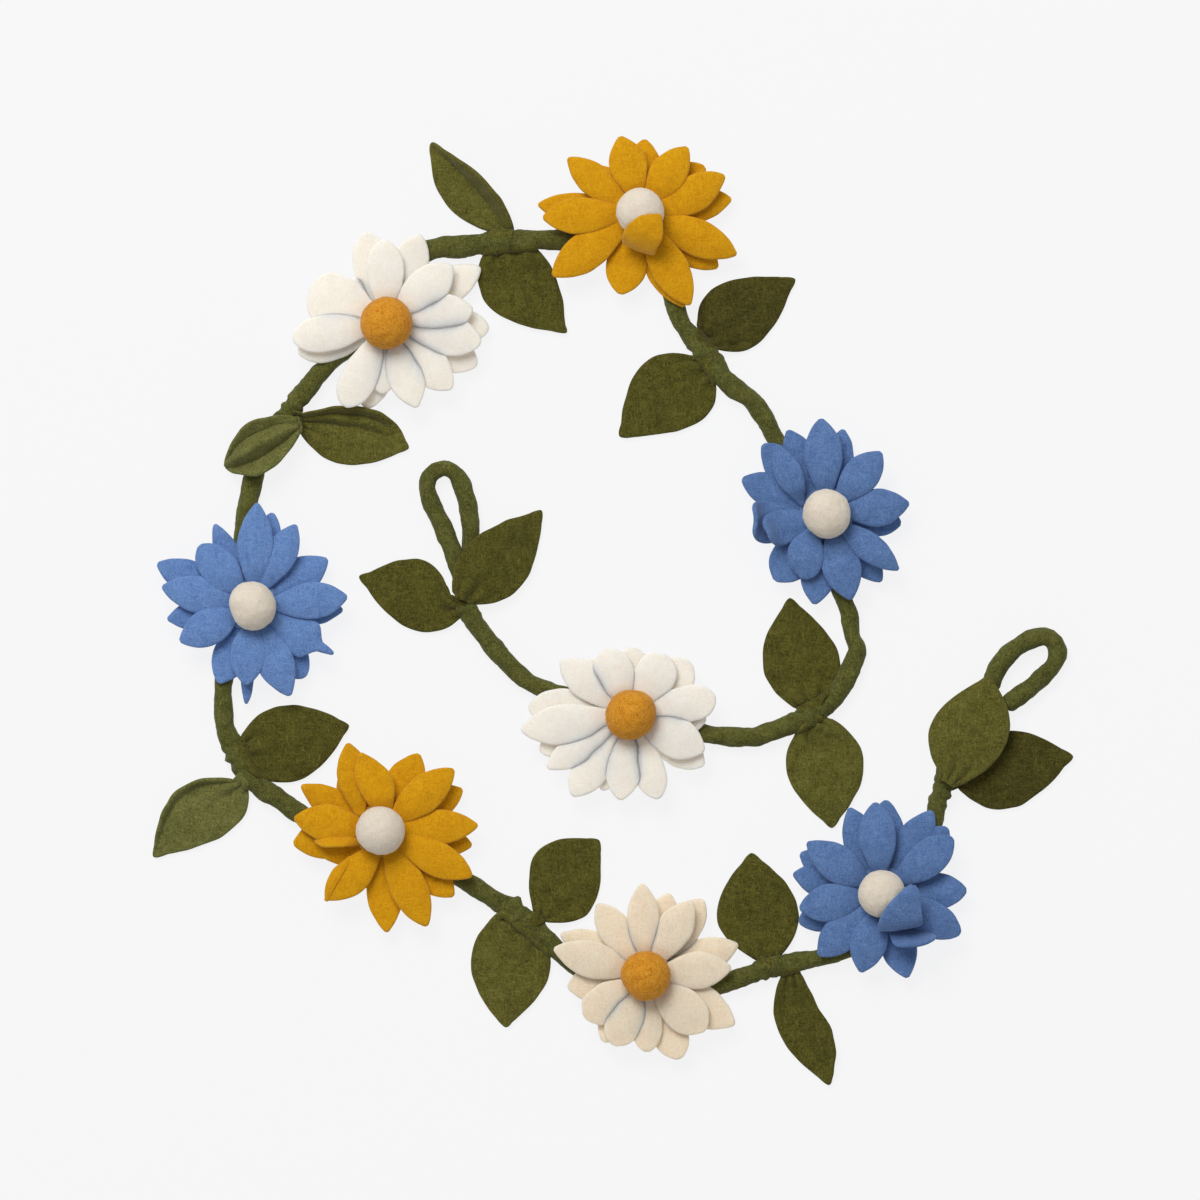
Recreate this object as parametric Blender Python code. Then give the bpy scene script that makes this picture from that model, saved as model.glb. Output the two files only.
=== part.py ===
# Felt flower garland lying in an open spiral on a table: a felted wool vine with a
# hanging loop at each end, eight flowers of two petal layers and a felt ball, and
# eighteen felt leaves sewn to the vine in pairs. Metres, +Z up, the table is z = 0.
import math
from collections import namedtuple

import bmesh
import bpy
from mathutils import Vector

# Driving sizes
GRID = 0.00052            # one step of the layout grid that the tables below are drawn on
MIDDLE = (611.0, 611.5)   # grid column and row over the origin; rows count downwards
GAP = 0.0003              # air left between two pieces that touch
PETAL_FELT = 0.0022       # thickness of the petal felt
LEAF_FELT = 0.0022        # thickness of the leaf felt
VINE_HEIGHT = 0.0098      # height of the vine above the table
VINE_STEP = 0.012         # distance between two rings of the vine
LOOP_STEP = 0.0055        # the same in the tight bends of the end loops
FINENESS = 12             # short pieces of the rope's curve between two bends
SLIT_RADIUS = 0.0156      # where the slits between the petals end
PETAL_HALF_WIDTH = 0.0097
PETAL_ARCH = 0.0022       # how far a front petal arches up
PETAL_DROOP = 0.0045      # how far the tip of a back petal hangs down
BALL_RADIUS = 0.0125
BALL_SEAT = 0.80          # height of the ball's middle over its seat, in radii
LEAF_BASE_HEIGHT = 0.0042 # height of a leaf's felt where it is sewn to the vine

# Shares of the half width and height of the vine, for its eight-sided section
FLAT_SHARE = 0.414
CORNER_SHARE = 0.293

Bend = namedtuple("Bend", "x y half")
Petal = namedtuple("Petal", "angle reach start end", defaults=(0, 0))
Flower = namedtuple("Flower", "name felt ball_felt x y front back")
Leaf = namedtuple("Leaf", "name base_a side_a tip side_b base_b lifts rises", defaults=((), (0, 0)))

# The whole rope: grid place and half width of each bend. The inner loop starts at its
# sewn-on end, goes round its top and down its left arm to the inner join.
INNER_LOOP = [Bend(*row) for row in (
    (470, 542, 8.5), (471, 535, 8.7), (471, 525, 9), (469, 510, 9.3), (465.5, 495, 9.4), (461, 482, 9.2),
    (454, 472.5, 8.5), (443, 468.5, 8), (431, 475, 8.5), (427.5, 487, 8.8), (430.5, 500, 9.2),
    (437, 514, 9.2), (444, 530, 9.2), (454, 554, 9.2), (460, 572, 9.2), (464, 590, 9.2))]

# The vine from the inner join to the outer one, under all the flowers
VINE = [Bend(*row) for row in (
    (467, 607, 9.3), (475, 622, 9.5), (486, 638, 9.7), (500, 655, 9.7), (517, 672, 9.2), (536, 686, 8.6),
    (580, 698, 9), (630, 712, 9), (675, 726, 9), (715, 735, 9.5), (750, 737, 10), (770, 732, 9.7),
    (785, 727, 10.5), (806, 716, 10.5), (828, 703, 10), (842, 686, 10), (851, 668, 10.5), (857, 650, 8.5),
    (852, 635, 8.5), (849, 615, 8.7), (843, 598, 8.7), (828, 560, 9), (812, 514, 9), (793, 466, 9),
    (774, 436, 9), (768, 424, 9.5), (760, 411, 9.5), (749, 398, 10), (737, 390, 10.5), (724, 379, 10.7),
    (713, 363, 10.5), (698, 345, 10), (685, 328, 9.5), (678, 315, 9.5), (673, 300, 9.5), (660, 264, 9),
    (632, 238, 9), (600, 235, 9.5), (565, 240, 10), (540, 240, 10), (515, 241, 10.8), (490, 243, 11.2),
    (465, 246, 10.8), (435, 249, 10.8), (408, 262, 10), (382, 296, 9), (356, 338, 9), (323, 370, 9.3),
    (311, 384, 9.8), (300, 398, 9.8), (290, 411, 9.5), (278, 426, 9.5), (268, 442, 9.5), (260, 458, 9.7),
    (254, 476, 10.2), (251, 490, 10.5), (248, 503, 10.4), (245, 520, 9.5), (241, 560, 9), (233, 625, 9),
    (225, 675, 9), (223, 700, 9.4), (224, 715, 9.5), (226, 728, 9.5), (231, 742, 10), (238, 756, 10.8),
    (244, 769, 10.8), (252, 780, 10), (264, 790, 10), (276, 797, 10.3), (288, 805, 10.3), (300, 813, 10),
    (335, 832, 9), (381, 848, 9), (430, 865, 9), (465, 881, 9), (478, 888, 9.5), (490, 896, 9.5),
    (503, 905, 9.8), (515, 912, 10.8), (528, 922, 11.4), (540, 933, 10.8), (551, 944, 9.5), (562, 956, 8.6),
    (576, 967, 8), (600, 979, 8.5), (645, 990, 9), (690, 991, 9), (722, 985, 9), (740, 978, 9.4),
    (760, 970, 9.6), (780, 966, 9.8), (800, 961, 9.4), (820, 957, 8.8), (845, 951, 8), (880, 930, 8.5),
    (910, 885, 8.5), (926, 850, 8.5), (934, 822, 8.8), (936, 810, 9), (939, 797, 9.5))]

# The outer loop: from the outer join up under a leaf, round the top to the sewn-on end
OUTER_LOOP = [Bend(*row) for row in (
    (943, 783, 9.5), (947, 770, 9.5), (954, 755, 9.5), (963, 737, 9.5), (973, 718, 9.3), (982, 702, 9),
    (990, 686, 9), (997, 669, 9.8), (1007, 655, 9.8), (1019, 646, 9.4), (1031, 639.5, 9.4),
    (1043, 636.5, 9.3), (1053, 641, 9.3), (1057, 652, 9.3), (1053, 664, 9), (1044, 674.5, 9.2),
    (1034, 684, 9.4), (1023, 693, 9.5), (1012, 700.5, 9.4), (1003, 707, 9))]

# Flowers: felt colours, grid place, and each petal's angle in degrees and reach in grid
# steps. A petal with two more numbers is curled: the slopes that it starts and ends with.
FLOWERS = [
    Flower("yellow_flower_1", "yellow", "cream", 640, 213,
           ((25, 92), (54, 80), (104, 78), (143, 90), (183, 97), (216, 108), (274, 104, 35, 185),
            (303, 105), (335, 105)),
           ((9, 92), (34, 77), (88, 72), (143, 74), (174, 102), (214, 90), (256, 84), (295, 102), (326, 95))),
    Flower("white_flower_1", "white", "orange", 387, 324,
           ((13, 85), (42, 89), (88, 82), (139, 78), (164, 84), (187, 95), (241, 102), (291, 89), (316, 92),
            (346, 96)),
           ((31, 109), (67, 96), (103, 94), (145, 70), (180, 80), (208, 79), (260, 84), (295, 78), (333, 99),
            (357, 100))),
    Flower("blue_flower_1", "blue", "cream", 826, 514,
           ((6, 83), (48, 82), (93, 94), (127, 87), (190, 86, 0, 100), (250, 70), (285, 89), (321, 91)),
           ((42, 66), (78, 85), (115, 92), (133, 94), (156, 90), (187, 72), (235, 84), (263, 91), (308, 87),
            (354, 74))),
    Flower("blue_flower_2", "blue", "cream", 253, 606,
           ((5, 95), (62, 92), (87, 103), (131, 80), (171, 92), (209, 80), (265, 81), (292, 97), (330, 92)),
           ((32, 87), (78, 95), (116, 89), (156, 104), (188, 85), (247, 84), (267, 97), (306, 88),
            (356, 89))),
    Flower("yellow_flower_2", "yellow", "cream", 381, 830,
           ((3, 97), (40, 95), (106, 82), (172, 87), (193, 64, 0, 70), (232, 88), (296, 106),
            (334, 102)),
           ((27, 91), (62, 84), (111, 92), (150, 90), (188, 87), (234, 84), (275, 102), (318, 98),
            (352, 92))),
    Flower("white_flower_2", "white", "orange", 645, 975,
           ((6, 86), (59, 89), (91, 92), (122, 87), (164, 95), (216, 73), (246, 76), (273, 75), (317, 82)),
           ((19, 98), (51, 95), (72, 86), (106, 84), (153, 94), (190, 77), (229, 64), (258, 66), (294, 90),
            (330, 102))),
    Flower("blue_flower_3", "blue", "cream", 881, 893,
           ((37, 89), (95, 91), (145, 92), (190, 83), (226, 89), (255, 81), (314, 104, 35, 185), (338, 87)),
           ((2, 85), (44, 93), (60, 97), (90, 93), (111, 91), (154, 90), (168, 90), (201, 88), (288, 88),
            (313, 62))),
    Flower("white_flower_3", "white", "orange", 630, 715,
           ((13, 87), (58, 70), (109, 69), (141, 88), (188, 110), (215, 94), (235, 98), (264, 85), (289, 88),
            (326, 85)),
           ((40, 78), (89, 67), (127, 69), (173, 100), (198, 94), (225, 80), (250, 74), (277, 76), (326, 88),
            (358, 74)))]

# Leaves: the two ends of the gathered base, a place on the middle of each edge, and the
# tip, all on the grid. Lifts are the heights in millimetres of the underside at the base,
# middle and tip of a leaf that lies on the vine; rises are how far each edge turns up.
LEAVES = [
    Leaf("leaf_01", (490, 231), (443, 201), (431, 143), (488, 184), (514, 230), (), (0, 8)),
    Leaf("leaf_02", (480, 259), (493, 310), (566, 333), (559, 285), (541, 252)),
    Leaf("leaf_03", (697, 325), (721, 284), (795, 279), (762, 340), (718, 350)),
    Leaf("leaf_04", (690, 356), (640, 367), (620, 437), (695, 424), (716, 386)),
    Leaf("leaf_05", (793, 707), (762, 660), (790, 598), (836, 650), (818, 698)),
    Leaf("leaf_06", (794, 736), (789, 780), (832, 828), (864, 765), (832, 719)),
    Leaf("leaf_07", (297, 417), (247, 432), (221, 460), (262, 468), (301, 433), (10.2, 10.3, 5), (8, 8)),
    Leaf("leaf_08", (304, 414), (374, 410), (409, 448), (345, 465), (301, 433)),
    Leaf("leaf_09", (242, 733), (287, 705), (349, 725), (308, 776), (256, 777)),
    Leaf("leaf_10", (233, 780), (176, 792), (154, 857), (229, 832), (248, 790), (), (3, 0)),
    Leaf("leaf_11", (534, 912), (538, 851), (599, 840), (592, 908), (545, 921)),
    Leaf("leaf_12", (498, 912), (471, 966), (505, 1027), (541, 993), (550, 957)),
    Leaf("leaf_13", (757, 960), (717, 915), (751, 853), (797, 903), (782, 954)),
    Leaf("leaf_14", (781, 978), (779, 1033), (829, 1085), (833, 1033), (800, 973), (), (0, 5)),
    Leaf("leaf_15", (448, 594), (420, 559.5), (359, 577), (410, 629), (460, 619)),
    Leaf("leaf_16", (476, 590), (479, 541), (542, 511), (525, 581), (480, 604), (), (14, 0)),
    Leaf("leaf_17", (938, 770), (933, 719), (989, 676), (1008, 737), (961, 785), (10.2, 10.4, 10.6), (-3, 0)),
    Leaf("leaf_18", (960, 772), (1003, 731), (1073, 756), (1012, 808), (958, 787))]

# Colours of the felts
FELTS = {"vine": (0.085, 0.105, 0.035), "leaf": (0.090, 0.088, 0.022), "yellow": (0.60, 0.30, 0.012),
         "blue": (0.115, 0.205, 0.48), "white": (0.83, 0.76, 0.65), "cream": (0.76, 0.68, 0.57),
         "orange": (0.58, 0.27, 0.04)}


def place(column, row):
    """Table position in metres of a place on the layout grid."""
    return Vector(((column - MIDDLE[0]) * GRID, (MIDDLE[1] - row) * GRID))


def felt_material(name):
    """A matt wool felt of one colour."""
    material = bpy.data.materials.new(name)
    material.use_nodes = True
    shader = material.node_tree.nodes["Principled BSDF"]
    shader.inputs["Base Color"].default_value = (*FELTS[name], 1.0)
    shader.inputs["Roughness"].default_value = 0.95
    shader.inputs["Metallic"].default_value = 0.0
    return material


def add_object(name, bm, felt):
    """Turns a bmesh into a smooth-shaded object with its own felt."""
    bmesh.ops.recalc_face_normals(bm, faces=bm.faces)
    mesh = bpy.data.meshes.new(name)
    bm.to_mesh(mesh)
    bm.free()
    mesh.shade_smooth()
    mesh.set_sharp_from_angle(angle=math.radians(50))
    mesh.materials.append(felt_material(felt))
    piece = bpy.data.objects.new(name, mesh)
    bpy.context.scene.collection.objects.link(piece)
    return piece


def thicken(piece, thickness):
    """Gives a sheet its felt thickness, half to each side."""
    solid = piece.modifiers.new("felt", "SOLIDIFY")
    solid.thickness = thickness
    solid.offset = 0.0


def smooth_curve(bends):
    """The smooth curve through the bends, in short pieces: each point and half width."""
    fine = []
    last = len(bends) - 1
    for i in range(last):
        around = [bends[max(i - 1, 0)], bends[i], bends[i + 1], bends[min(i + 2, last)]]
        spots = [place(b.x, b.y) for b in around]
        for k in range(FINENESS):
            t = k / FINENESS
            weights = (-t + 2 * t**2 - t**3, 2 - 5 * t**2 + 3 * t**3, t + 4 * t**2 - 3 * t**3, -t**2 + t**3)
            spot = sum((p * w for p, w in zip(spots, weights)), Vector((0, 0))) / 2
            fine.append((spot, (around[1].half * (1 - t) + around[2].half * t) * GRID))
    fine.append((place(bends[last].x, bends[last].y), bends[last].half * GRID))
    return fine


def rope_rings(curve, first, last, step):
    """Rings at even steps from one bend to another: middle, half width and heading."""
    first, last = first * FINENESS, last * FINENESS
    lengths = [0.0]
    for (a, _), (b, _) in zip(curve[first:last], curve[first + 1:last + 1]):
        lengths.append(lengths[-1] + (b - a).length)
    count = round(lengths[-1] / step)
    rings = []
    k = 0
    for i in range(count + 1):
        want = min(max(lengths[-1] * i / count, GAP * 0.6), lengths[-1] - GAP * 0.6)
        while k < len(lengths) - 2 and lengths[k + 1] < want:
            k += 1
        share = (want - lengths[k]) / (lengths[k + 1] - lengths[k])
        (near, near_half), (far, far_half) = curve[first + k], curve[first + k + 1]
        half = near_half * (1 - share) + far_half * share
        rings.append((near.lerp(far, share), half, (far - near).normalized()))
    return rings


def vine_section(half):
    """The eight corners of the vine's section: sideways offset and height."""
    low, high = VINE_HEIGHT * CORNER_SHARE, VINE_HEIGHT * (1 - CORNER_SHARE)
    flat = half * FLAT_SHARE
    return [(-flat, 0), (flat, 0), (half, low), (half, high), (flat, VINE_HEIGHT), (-flat, VINE_HEIGHT),
            (-half, high), (-half, low)]


def make_rope(name, rings):
    """A stretch of the felted vine, lying with its flattened underside on the table."""
    bm = bmesh.new()
    loops = []
    for spot, half, heading in rings:
        across = Vector((-heading.y, heading.x))
        loops.append([bm.verts.new((*(spot + across * side), height)) for side, height in vine_section(half)])
    for near, far in zip(loops, loops[1:]):
        for k in range(8):
            bm.faces.new((near[k], near[(k + 1) % 8], far[(k + 1) % 8], far[k]))
    bm.faces.new(loops[0])
    bm.faces.new(loops[-1])
    return add_object(name, bm, "vine")


def distance_to_vine(spot, routes):
    """Nearest point of the vine's middle line, its distance and its half width."""
    best = None
    for route in routes:
        for (a, half_a, _), (b, half_b, _) in zip(route, route[1:]):
            along = b - a
            share = min(max((spot - a).dot(along) / along.length_squared, 0.0), 1.0)
            foot = a + along * share
            distance = (spot - foot).length
            if best is None or distance < best[1]:
                best = (foot, distance, half_a * (1 - share) + half_b * share)
    return best


def gathered_rooms(petals):
    """Angle that each petal may take to its right and to its left, in radians."""
    widest = math.radians(24)
    rooms = []
    for i, petal in enumerate(petals):
        before = math.radians((petal.angle - petals[i - 1].angle) % 360) / 2
        after = math.radians((petals[(i + 1) % len(petals)].angle - petal.angle) % 360) / 2
        rooms.append((min(before, widest), min(after, widest)))
    return rooms


def petal_path(petal, share, height, droops, is_front):
    """Radius and height of a petal's middle line at a share of its length."""
    length = petal.reach * GRID - SLIT_RADIUS
    if petal.end:
        start, end = math.radians(petal.start), math.radians(petal.end)
        bend = length / (end - start)
        slope = start + (end - start) * share
        return (SLIT_RADIUS + bend * (math.sin(slope) - math.sin(start)),
                height + bend * (math.cos(start) - math.cos(slope)))
    radius = SLIT_RADIUS + length * share
    if is_front:
        return radius, height + PETAL_ARCH * math.sin(math.pi * share * 0.75)
    return radius, height - (PETAL_DROOP * share**2 if droops else 0.0)


def lies_on_vine(flower, petal, routes):
    """Whether any of a petal lies over the vine, which then carries it."""
    turn = math.radians(petal.angle)
    out = Vector((math.cos(turn), math.sin(turn)))
    for share in (0.4, 0.55, 0.7, 0.85, 1.0):
        spot = place(flower.x, flower.y) + out * petal.reach * GRID * share
        _, distance, half = distance_to_vine(spot, routes)
        if distance < half + PETAL_HALF_WIDTH * (1.25 - share * 0.75):
            return True
    return False


def make_petal_layer(flower, is_front, height, routes):
    """One cut star of petals round a hub, with its middle surface at a height."""
    petals = [Petal(*row) for row in (flower.front if is_front else flower.back)]
    middle = place(flower.x, flower.y)
    rooms = gathered_rooms(petals)
    bm = bmesh.new()
    hub_verts = {}

    def hub_vert(angle):
        key = round(math.degrees(angle) % 360, 3)
        if key not in hub_verts:
            offset = Vector((math.cos(angle), math.sin(angle))) * SLIT_RADIUS
            hub_verts[key] = bm.verts.new((*(middle + offset), height))
        return hub_verts[key]

    rim = []
    for petal, (right_room, left_room) in zip(petals, rooms):
        turn = math.radians(petal.angle)
        out = Vector((math.cos(turn), math.sin(turn)))
        side = Vector((-out.y, out.x))
        droops = not is_front and not lies_on_vine(flower, petal, routes)
        row = [hub_vert(turn - right_room), hub_vert(turn), hub_vert(turn + left_room)]
        rim += [vert for vert in row if vert not in rim]
        for share, fullness in ((0.35, 1.0), (0.7, 0.78)):
            radius, up = petal_path(petal, share, height, droops, is_front)
            widths = []
            for room in (right_room, left_room):
                free = PETAL_HALF_WIDTH if petal.end else radius * math.tan(room) - GAP
                widths.append(min(PETAL_HALF_WIDTH * fullness, free))
            spots = (-widths[0], 0.0, widths[1])
            following = [bm.verts.new((*(middle + out * radius + side * across), up)) for across in spots]
            bm.faces.new((row[0], following[0], following[1], row[1]))
            bm.faces.new((row[1], following[1], following[2], row[2]))
            row = following
        radius, up = petal_path(petal, 1.0, height, droops, is_front)
        tip = bm.verts.new((*(middle + out * radius), up))
        bm.faces.new((row[0], tip, row[1]))
        bm.faces.new((row[1], tip, row[2]))
    centre = bm.verts.new((*middle, height))
    for here, following in zip(rim, rim[1:] + rim[:1]):
        bm.faces.new((centre, here, following))
    layer = add_object(flower.name + ("_front" if is_front else "_back"), bm, flower.felt)
    thicken(layer, PETAL_FELT)


def make_ball(flower, seat):
    """The felt ball in the flower's middle, flattened where it is sewn down."""
    bm = bmesh.new()
    bmesh.ops.create_uvsphere(bm, u_segments=14, v_segments=9, radius=BALL_RADIUS)
    for vert in bm.verts:
        vert.co.z = max(vert.co.z, -BALL_RADIUS * BALL_SEAT)
    ball = add_object(flower.name + "_ball", bm, flower.ball_felt)
    ball.location = (*place(flower.x, flower.y), seat + BALL_RADIUS * BALL_SEAT)


def make_flower(flower, routes):
    """Two petal layers and a ball, stacked on the vine with a hair of air between them."""
    back = VINE_HEIGHT + GAP + PETAL_FELT / 2
    front = back + PETAL_FELT + GAP
    make_petal_layer(flower, False, back, routes)
    make_petal_layer(flower, True, front, routes)
    make_ball(flower, front + PETAL_FELT / 2 + GAP)


def edge_curve(base, middle, tip, share):
    """Point of the curved leaf edge from its base through its middle to the tip."""
    pull = middle * 2 - (base + tip) / 2
    return base * (1 - share)**2 + pull * 2 * share * (1 - share) + tip * share**2


def leaf_lift(leaf, share):
    """Height of the leaf's underside along its midrib."""
    if leaf.lifts:
        base, middle, tip = (lift / 1000 for lift in leaf.lifts)
    else:
        base, middle, tip = LEAF_BASE_HEIGHT - LEAF_FELT / 2, 0.0, 0.0
    turn = 0.5 if leaf.lifts else 0.3
    if share < turn:
        t = share / turn
        return base + (middle - base) * t * t * (3 - 2 * t)
    t = (share - turn) / (1 - turn)
    return middle + (tip - middle) * t * t * (3 - 2 * t)


def make_leaf(leaf, routes):
    """A leaf: a sheet between two curved edges, gathered at the vine, lying down to the table."""
    base_a, side_a, tip, side_b, base_b = (place(*spot) for spot in leaf[1:6])
    bm = bmesh.new()
    previous = None
    for share in (0.0, 0.12, 0.3, 0.5, 0.7, 0.88):
        row = []
        for across in (-1.0, -0.5, 0.0, 0.5, 1.0):
            edge_a = edge_curve(base_a, side_a, tip, share)
            edge_b = edge_curve(base_b, side_b, tip, share)
            spot = edge_a.lerp(edge_b, (across + 1) / 2)
            rise = leaf.rises[0 if across < 0 else 1] / 1000
            height = leaf_lift(leaf, share) + rise * abs(across)**1.3 * math.sin(math.pi * share)
            foot, distance, half = distance_to_vine(spot, routes)
            beside = half + GAP * 1.2 + (LEAF_FELT / 2 if rise and share else 0.0)
            if height < VINE_HEIGHT + GAP and (distance < beside or share == 0.0):
                spot = foot + (spot - foot).normalized() * beside
            row.append(bm.verts.new((*spot, height + LEAF_FELT / 2)))
        if previous:
            for k in range(4):
                bm.faces.new((previous[k], row[k], row[k + 1], previous[k + 1]))
        previous = row
    point = bm.verts.new((*tip, leaf_lift(leaf, 1.0) + LEAF_FELT / 2))
    for k in range(4):
        bm.faces.new((previous[k], point, previous[k + 1]))
    thicken(add_object(leaf.name, bm, "leaf"), LEAF_FELT)


for old in list(bpy.data.objects):
    bpy.data.objects.remove(old)

rope = smooth_curve(INNER_LOOP + VINE + OUTER_LOOP)
inner_join = len(INNER_LOOP)
outer_join = inner_join + len(VINE)
rope_end = outer_join + len(OUTER_LOOP) - 1
inner_rings = rope_rings(rope, 0, inner_join, LOOP_STEP)
vine_rings = rope_rings(rope, inner_join, outer_join, VINE_STEP)
outer_rings = rope_rings(rope, outer_join, rope_end, LOOP_STEP)
make_rope("end_loop_inner", inner_rings)
make_rope("vine", vine_rings)
make_rope("end_loop_outer", outer_rings)
all_rings = (inner_rings, vine_rings, outer_rings)
for one_flower in FLOWERS:
    make_flower(one_flower, all_rings)
for one_leaf in LEAVES:
    make_leaf(one_leaf, all_rings)
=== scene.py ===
"""Felt flower garland lying in an open spiral, seen straight down."""
import math
from collections import namedtuple

import bpy
import numpy as np
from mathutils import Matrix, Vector, noise


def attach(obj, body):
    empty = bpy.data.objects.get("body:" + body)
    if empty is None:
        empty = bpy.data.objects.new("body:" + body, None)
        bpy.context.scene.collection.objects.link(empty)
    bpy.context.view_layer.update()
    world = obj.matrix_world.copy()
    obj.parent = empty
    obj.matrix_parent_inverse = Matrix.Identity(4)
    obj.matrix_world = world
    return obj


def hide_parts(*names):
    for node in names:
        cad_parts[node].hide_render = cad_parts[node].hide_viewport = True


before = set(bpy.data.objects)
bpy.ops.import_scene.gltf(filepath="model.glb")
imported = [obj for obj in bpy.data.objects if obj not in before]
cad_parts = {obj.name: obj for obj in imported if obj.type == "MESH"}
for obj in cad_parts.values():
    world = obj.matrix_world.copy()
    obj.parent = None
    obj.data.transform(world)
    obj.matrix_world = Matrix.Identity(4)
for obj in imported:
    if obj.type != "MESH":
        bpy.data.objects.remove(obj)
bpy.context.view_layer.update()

# Layout: the same grid as the solids
GRID = 0.00052            # metres in one grid step
MIDDLE = (611.0, 611.5)   # grid column and row over the origin
FRAME_STEPS = 1200        # grid steps across the picture
PETAL_FELT = 0.0023
LEAF_FELT = 0.0024
VINE_HEIGHT = 0.0098
BACK_HEIGHT = 0.0112      # middle of the back petals' felt at the hub
FRONT_HEIGHT = 0.0137     # the same for the front petals
BALL_HEIGHT = 0.0249
PETAL_HALF = 18.6         # half width of a petal, in grid steps
LEAF_BASE_HEIGHT = 0.0042
VINE_HALF = 9.3           # the rope's usual half width, in grid steps


def place(column, row):
    return np.array(((column - MIDDLE[0]) * GRID, (MIDDLE[1] - row) * GRID))


# Camera
CAMERA_HEIGHT = 8.0
camera_data = bpy.data.cameras.new("camera")
camera_data.sensor_width = 36.0
camera_data.lens = 36.0 * CAMERA_HEIGHT / (FRAME_STEPS * GRID)
camera_data.clip_end = 30.0
camera = bpy.data.objects.new("camera", camera_data)
view_middle = place(FRAME_STEPS / 2, FRAME_STEPS / 2)
camera.location = (view_middle[0], view_middle[1], CAMERA_HEIGHT)
bpy.context.scene.collection.objects.link(camera)
bpy.context.scene.camera = camera


# Felt materials
GLOW_REACH = 0.0038       # how far light spreads inside the pale felts
def linear(red, green, blue):
    """Linear colour of a screen colour from 0 to 255."""
    return tuple(c / 12.92 if c <= 0.04045 else ((c + 0.055) / 1.055) ** 2.4
                 for c in (red / 255, green / 255, blue / 255)) + (1.0,)


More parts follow.
